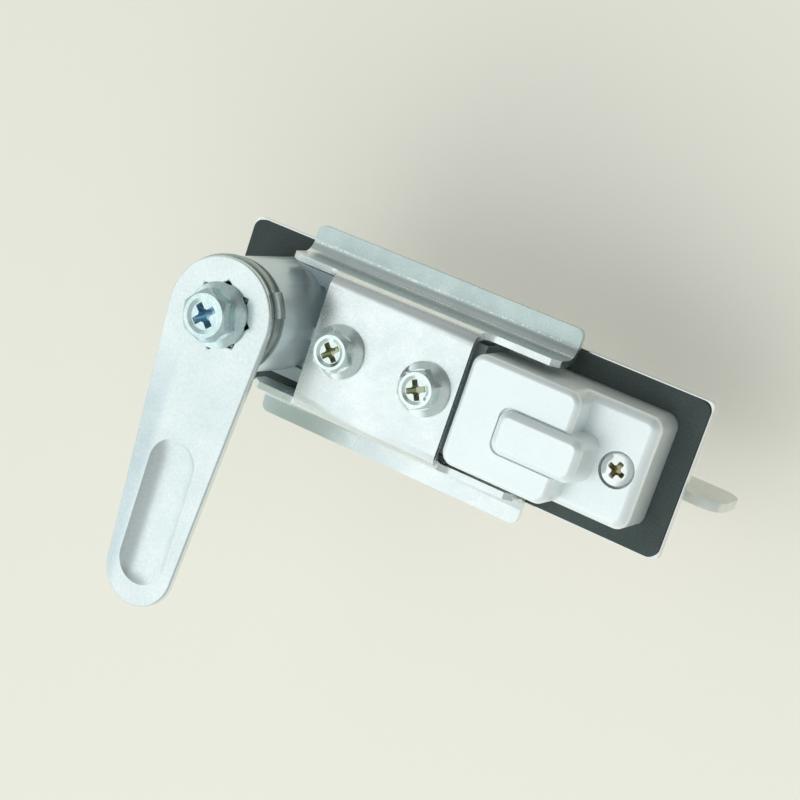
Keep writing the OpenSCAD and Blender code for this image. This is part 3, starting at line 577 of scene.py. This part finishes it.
def cast_block(name, low, high, draft, corner, edge, roundness=0.5):
    """A tapered block: its upright corners are rounded first, then the rim of its top. All in metres.
    A roundness of 0.5 gives a round rim and 0.25 a flat slope."""
    size, middle = high - low, (low + high) / 2
    bpy.ops.object.select_all(action="DESELECT")
    bpy.ops.mesh.primitive_cube_add(size=1, location=middle, scale=size)
    block = bpy.context.object
    block.name = name
    bpy.ops.object.transform_apply(location=True, rotation=True, scale=True)
    choose(block, "FACE", lambda corners: all(c.z > middle.z for c in corners))
    bpy.ops.transform.resize(value=(1 - 2 * draft / size.x, 1 - 2 * draft / size.y, 1),
                             center_override=(middle.x, middle.y, high.z))
    choose(block, "EDGE", lambda corners: abs(corners[0].z - corners[1].z) > size.z / 2)
    bpy.ops.mesh.bevel(offset=corner, segments=10)
    choose(block, "EDGE", lambda corners: all(c.z > high.z - 1e-6 for c in corners))
    bpy.ops.mesh.bevel(offset=edge, segments=8, profile=roundness)
    bpy.ops.object.mode_set(mode="OBJECT")
    return block


cover_shell = cast_block("cover_shell", COVER_LOW, Vector((COVER_HIGH.x, HALF_WIDTH, LOW_TOP)),
                         draft=0.2 * MM, corner=3 * MM, edge=2.0 * MM, roundness=0.42)
print("low step:", len(cover_shell.data.polygons), "faces")


# %% [markdown]
# ### The high step, and the rib in its groove
# Boolean modifiers join the blocks. The high step stands a hair inside the low one, so that their walls
# don't fall together. The groove's block is smaller than the rib's foot and cuts into the high step only,
# where the tapered rib then leaves a fine gap that keeps its outline clear.

# %% Three blocks become one casting
def combine(piece, tool, operation):
    """Adds the tool to the piece or cuts it away, and removes the tool."""
    bpy.ops.object.select_all(action="DESELECT")
    bpy.context.view_layer.objects.active = piece
    joint = piece.modifiers.new(operation.lower(), "BOOLEAN")
    joint.operation, joint.solver, joint.object = operation, "EXACT", tool
    bpy.ops.object.modifier_apply(modifier=joint.name)
    bpy.data.objects.remove(tool, do_unlink=True)


high_step = cast_block("high_step", Vector((COVER_LOW.x + SET_BACK, SET_BACK - HALF_WIDTH, STEP_FOOT)),
                       Vector((STEP_X + STEP_REACH, HALF_WIDTH - SET_BACK, HIGH_TOP)),
                       draft=0.2 * MM, corner=2.9 * MM, edge=1.3 * MM, roundness=0.42)
rib_groove = cast_block("rib_groove", Vector((*(RIB_LOW + GROOVE_INSET).xy, GROOVE_FLOOR)),
                        Vector((*(RIB_HIGH - GROOVE_INSET).xy, GROOVE_TOP)),
                        draft=0, corner=2.45 * MM, edge=0.2 * MM)
rib = cast_block("rib", RIB_LOW, RIB_HIGH,
                 draft=0.6 * MM, corner=2.6 * MM, edge=1.5 * MM, roundness=0.34)
combine(cover_shell, high_step, "UNION")
combine(cover_shell, rib_groove, "DIFFERENCE")
combine(cover_shell, rib, "UNION")
print("joined cover:", len(cover_shell.data.polygons), "faces")


# %% [markdown]
# ### Fillets
# The inner corners round the low step get their fillet before the cover is hollowed. An inner corner is an
# edge whose two faces turn sharply and look towards each other: the second face's middle then lies in front
# of the first face.

# %% Fillets of the inner corners
FILLET, FILLET_TURN = 0.45 * MM, 50
FILLET_TOP = LOW_TOP + 0.1 * MM


def inner_corner(piece, least_turn):
    """A test for edges where two faces meet in a hollow, turning by more than least_turn degrees."""
    mesh = piece.data
    faces_of = {}
    for face in mesh.polygons:
        for key in face.edge_keys:
            faces_of.setdefault(key, []).append(face)
    hollow = set()
    for key, faces in faces_of.items():
        if len(faces) == 2 and faces[0].normal.angle(faces[1].normal) > radians(least_turn):
            if (faces[1].center - faces[0].center).dot(faces[0].normal) > 0:
                ends = [mesh.vertices[i].co for i in key]
                hollow.add(tuple(sorted(tuple(end) for end in ends)))
    return lambda corners: tuple(sorted(tuple(c) for c in corners)) in hollow


low_corner = inner_corner(cover_shell, FILLET_TURN)
choose(cover_shell, "EDGE",
       lambda corners: all(c.z < FILLET_TOP for c in corners) and low_corner(corners))
bpy.ops.mesh.bevel(offset=FILLET, segments=4, clamp_overlap=True)
bpy.ops.object.mode_set(mode="OBJECT")
print("filleted cover:", len(cover_shell.data.polygons), "faces")


# %% [markdown]
# ### Hollow and counterbore
# The casting is hollow underneath, where the bridge of the carrier plate stands, and it has a counterbore
# for its one screw. The axis and the head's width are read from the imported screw.

# %% Hollow and counterbore of the cover
SCREW_LOW, SCREW_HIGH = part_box("cover_screw")
SCREW_AXIS = (SCREW_LOW + SCREW_HIGH) / 2
SHANK_HOLE, HEAD_HOLE = 2.2 * MM, (SCREW_HIGH.x - SCREW_LOW.x) / 2 + 0.3 * MM
HEAD_SEAT, DRILL_TOP = LOW_TOP - 1.7 * MM, 16 * MM
LOW_HOLLOW = (Vector((COVER_LOW.x + 2 * MM, -10.4 * MM, -2.8 * MM)),
              Vector((COVER_HIGH.x - 2 * MM, 10.4 * MM, 9.0 * MM)))
HIGH_HOLLOW = (Vector((COVER_LOW.x + 2.1 * MM, -9.9 * MM, -0.9 * MM)),
               Vector((STEP_X - 1.6 * MM, 9.9 * MM, HIGH_TOP - 2 * MM)))
HOLLOW_EDGES = {"draft": 0.1 * MM, "corner": 0.8 * MM, "edge": 0.3 * MM}


def cutting_drill(axis, radius, z0, z1):
    """An upright cylinder round the axis from z0 to z1, to be cut away."""
    bpy.ops.object.select_all(action="DESELECT")
    bpy.ops.mesh.primitive_cylinder_add(vertices=64, radius=radius, depth=z1 - z0,
                                        location=(axis.x, axis.y, (z0 + z1) / 2))
    bpy.ops.object.transform_apply(location=True, rotation=True, scale=True)
    return bpy.context.object


combine(cover_shell, cast_block("low_hollow", *LOW_HOLLOW, **HOLLOW_EDGES), "DIFFERENCE")
combine(cover_shell, cast_block("high_hollow", *HIGH_HOLLOW, **HOLLOW_EDGES), "DIFFERENCE")
combine(cover_shell, cutting_drill(SCREW_AXIS, SHANK_HOLE, 0.0, DRILL_TOP), "DIFFERENCE")
combine(cover_shell, cutting_drill(SCREW_AXIS, HEAD_HOLE, HEAD_SEAT, DRILL_TOP), "DIFFERENCE")
print("hollow cover:", len(cover_shell.data.polygons), "faces")


# %% [markdown]
# ### Shading of the casting
# Faces that meet at a flat angle are shaded as one surface, and weighted normals keep the large flat faces
# even beside their narrow round rims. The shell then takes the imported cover's place on the housing.

# %% Smooth the cover and put it in place
bpy.ops.object.select_all(action="DESELECT")
bpy.context.view_layer.objects.active = cover_shell
cover_shell.select_set(True)
bpy.ops.object.shade_smooth_by_angle(angle=radians(38))
even = cover_shell.modifiers.new("even shading", "WEIGHTED_NORMAL")
even.keep_sharp = True
bpy.ops.object.modifier_apply(modifier="even shading")
cover_shell.data.materials.clear()
cover_shell.data.materials.append(COVER_CAST)
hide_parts("cover")
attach(cover_shell, "housing")
print("cover shell:", len(cover_shell.data.polygons), "faces")


# %% [markdown]
# ## The spring that lifts the handle
# The small spring sits on the pivot pin, one winding on each side of the spindle's tongue. A winding is a
# round wire on a helix, so a circle is drawn where the wire starts and a Screw modifier sweeps it round the
# pin while it moves along it. The copy on the other side is turned half round, not mirrored.

# %% Two windings of spring wire
PIN_LOW, PIN_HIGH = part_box("handle_pin")
PIN = (PIN_LOW + PIN_HIGH) / 2
WIRE_RADIUS, COIL_RADIUS = 0.29 * MM, 2.5 * MM
COIL_START, COIL_LENGTH = 2.96 * MM, 0.92 * MM
COIL_TURN, COIL_STEPS = radians(540), 72


def winding(name, side):
    """One winding on the pin; side is 1 or -1 and says to which end of the pin it goes."""
    bpy.ops.object.select_all(action="DESELECT")
    bpy.ops.mesh.primitive_circle_add(vertices=14, radius=WIRE_RADIUS, fill_type="NGON",
                                      location=(COIL_RADIUS, 0, COIL_START), rotation=(radians(90), 0, 0))
    wire = bpy.context.object
    wire.name = name
    bpy.ops.object.transform_apply(location=True, rotation=True, scale=True)
    sweep = wire.modifiers.new("sweep", "SCREW")
    sweep.axis, sweep.angle, sweep.screw_offset = "Z", COIL_TURN, COIL_LENGTH
    sweep.steps = sweep.render_steps = COIL_STEPS
    bpy.ops.object.modifier_apply(modifier="sweep")
    bpy.ops.object.mode_set(mode="EDIT")
    bpy.ops.mesh.select_all(action="SELECT")
    bpy.ops.mesh.remove_doubles(threshold=1e-7)
    bpy.ops.mesh.fill_holes(sides=0)
    bpy.ops.mesh.normals_make_consistent(inside=False)
    bpy.ops.object.mode_set(mode="OBJECT")
    bpy.ops.object.shade_smooth()
    wire.data.transform(Matrix.Translation(PIN) @ Matrix.Rotation(radians(-90 * side), 4, "X"))
    return wire


spring = [winding("spring_left", 1), winding("spring_right", -1)]
for wire in spring:
    wire.data.materials.append(DARK_STEEL)
    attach(wire, "spindle")
    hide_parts("pop_spring")
print("spring windings:", [len(wire.data.polygons) for wire in spring])


# %% [markdown]
# ## Softened edges
# No edge of a pressed sheet or a casting is a razor: it is rounded by the press, by tumbling or by the
# plating, and the thin bright line along it is what makes metal read as metal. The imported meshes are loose
# triangles, so a Weld modifier joins them first, and a Bevel modifier then rounds every edge that turns
# by more than 35 degrees. The bevel is held back where it would run into its neighbour, except on the stop
# disc, whose narrow triangles would hold it back altogether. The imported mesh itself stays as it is.

# %% Soften the edges of the solids
WELD_REACH = 0.002 * MM
SHARP_TURN = radians(35)
EDGE_WIDTH = {
    "bracket": 0.28, "cam": 0.42, "stop_disc": 0.10, "face_plate": 0.22, "gasket": 0.10, "body": 0.4,
    "cam_bolt": 0.14, "bracket_screw_1": 0.12, "bracket_screw_2": 0.12, "cover_screw": 0.10,
    "handle": 0.5, "button": 0.15, "lock_barrel": 0.12, "key": 0.25, "handle_pin": 0.2, "plug": 0.12,
}


def soften(node, width, held_back):
    """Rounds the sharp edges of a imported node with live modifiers; the width is in millimetres."""
    weld = NODES[node].modifiers.new("weld", "WELD")
    weld.merge_threshold = WELD_REACH
    bevel = NODES[node].modifiers.new("soft edges", "BEVEL")
    bevel.width = width * MM
    bevel.segments = 3
    bevel.limit_method = "ANGLE"
    bevel.angle_limit = SHARP_TURN
    bevel.harden_normals = False
    bevel.use_clamp_overlap = held_back


for node, width in EDGE_WIDTH.items():
    soften(node, width, held_back=node != "stop_disc")
print("softened nodes:", len(EDGE_WIDTH))


# %% [markdown]
# ## The table
# The lock hangs close over a plain pale table. Its lowest point is the bow of the key, and the key has to
# come out by its whole length, so the table's top lies that much lower. The table is seen through from
# underneath, so that the hidden front can be looked at too.

# %% Table
KEY_TRAVEL, TABLE_GAP = 20 * MM, 0.2 * MM
TABLE_Z = CAD_BOX[0].z - KEY_TRAVEL - TABLE_GAP
TABLE_SIZE, TABLE_ROUGHNESS = 6.0, 0.6
TABLE_COLOUR = (0.79, 0.765, 0.68, 1)


def make_table():
    """A large plane that is matt from above and clear from below."""
    bpy.ops.object.select_all(action="DESELECT")
    bpy.ops.mesh.primitive_plane_add(size=TABLE_SIZE, location=(0, 0, TABLE_Z))
    table = bpy.context.object
    table.name = "table_top"
    bpy.ops.object.transform_apply(location=True, rotation=True, scale=True)
    finish = bpy.data.materials.new("pale_table")
    finish.use_nodes = True
    tree = finish.node_tree
    shader = tree.nodes["Principled BSDF"]
    shader.inputs["Base Color"].default_value = TABLE_COLOUR
    shader.inputs["Roughness"].default_value = TABLE_ROUGHNESS
    side = place(tree, "ShaderNodeNewGeometry")
    clear = place(tree, "ShaderNodeBsdfTransparent")
    either = place(tree, "ShaderNodeMixShader")
    link = tree.links.new
    link(side.outputs["Backfacing"], either.inputs[0])
    link(shader.outputs["BSDF"], either.inputs[1])
    link(clear.outputs["BSDF"], either.inputs[2])
    link(either.outputs["Shader"], tree.nodes["Material Output"].inputs["Surface"])
    table.data.materials.append(finish)


make_table()
print("table top at", round(TABLE_Z / MM, 2), "mm")


# %% [markdown]
# ## The light
# One very large soft panel above lights what is matt: the table, the rubber and the castings. Metal shows
# what it mirrors, so the world is a soft bright box on the cam's side and darker opposite, which gives each
# bend its light and its grey stripe. The panel itself is kept out of the mirrors, or every flat top would
# burn out white.

# %% Panel and world
WORLD_COLOUR = (0.94, 1.0, 0.995, 1)
BOX_EDGES = {"X": (0.06, -0.26, 0.47), "Y": (0.50, 0.12, 0.40), "Z": (-0.05, 0.2, 0.30)}


def soft_panel(name, direction, distance, size, power):
    """A square lamp that looks at the middle of the lock and isn't mirrored."""
    bpy.ops.object.light_add(type="AREA", location=direction * distance)
    lamp = bpy.context.object
    lamp.name = name
    lamp.data.size = size
    lamp.data.energy = power
    lamp.rotation_euler = direction.to_track_quat("Z", "Y").to_euler()
    lamp.visible_glossy = False


def soft_box_world(bright):
    """A bright box on the cam's side: each axis has the dark end and the bright end of its border, and the
    share of light that is left beyond it."""
    world = bpy.data.worlds.new("studio")
    bpy.context.scene.world = world
    world.use_nodes = True
    tree = world.node_tree
    background = tree.nodes["Background"]
    background.inputs["Color"].default_value = WORLD_COLOUR
    where = place(tree, "ShaderNodeTexCoord")
    split = place(tree, "ShaderNodeSeparateXYZ")
    link = tree.links.new
    link(where.outputs["Generated"], split.inputs["Vector"])
    share = None
    for axis, (outer, inner, dark) in BOX_EDGES.items():
        fall = place(tree, "ShaderNodeMapRange", {"From Min": outer, "From Max": inner, "To Min": dark},
                     interpolation_type="SMOOTHSTEP")
        link(split.outputs[axis], fall.inputs["Value"])
        if share:
            both = place(tree, "ShaderNodeMath", operation="MULTIPLY")
            link(share, both.inputs[0])
            link(fall.outputs["Result"], both.inputs[1])
            share = both.outputs["Value"]
        else:
            share = fall.outputs["Result"]
    level = place(tree, "ShaderNodeMath", {1: bright}, operation="MULTIPLY")
    link(share, level.inputs[0])
    link(level.outputs["Value"], background.inputs["Strength"])


soft_panel("panel_above", Vector((0.14, -0.48, 0.87)).normalized(), distance=1.3, size=1.7, power=13.3)
soft_box_world(bright=1.1)
bpy.context.scene.view_settings.view_transform = "Standard"


# %% [markdown]
# ## The camera
# The picture was taken from high above the key end, with a longer lens, and turned so that the lock runs
# down to the right. The camera is therefore given as a photographer would: the point it aims at, the
# direction round the lock, the height angle, the turn about its own axis and the distance.

# %% Camera
AIM = Vector((-9.0, -8.1, 0.0)) * MM
AZIMUTH, ELEVATION, ROLL = radians(118.9), radians(64.18), radians(-97.64)
DISTANCE, NEAREST = 409.6 * MM, 10 * MM
FOCAL_PIXELS, IMAGE_PIXELS, SENSOR_WIDTH = 1862.0, 800.0, 36.0

turn = (Matrix.Rotation(AZIMUTH, 4, "Z") @ Matrix.Rotation(radians(90) - ELEVATION, 4, "X")
        @ Matrix.Rotation(ROLL, 4, "Z"))
camera = bpy.data.objects.new("camera", bpy.data.cameras.new("camera"))
bpy.context.scene.collection.objects.link(camera)
camera.matrix_world = Matrix.Translation(AIM + turn.col[2].to_3d() * DISTANCE) @ turn
camera.data.sensor_width = SENSOR_WIDTH
camera.data.lens = SENSOR_WIDTH * FOCAL_PIXELS / IMAGE_PIXELS
camera.data.clip_start = NEAREST
bpy.context.scene.camera = camera
print("camera at", [round(x / MM, 1) for x in camera.location], "mm, lens", round(camera.data.lens, 1))
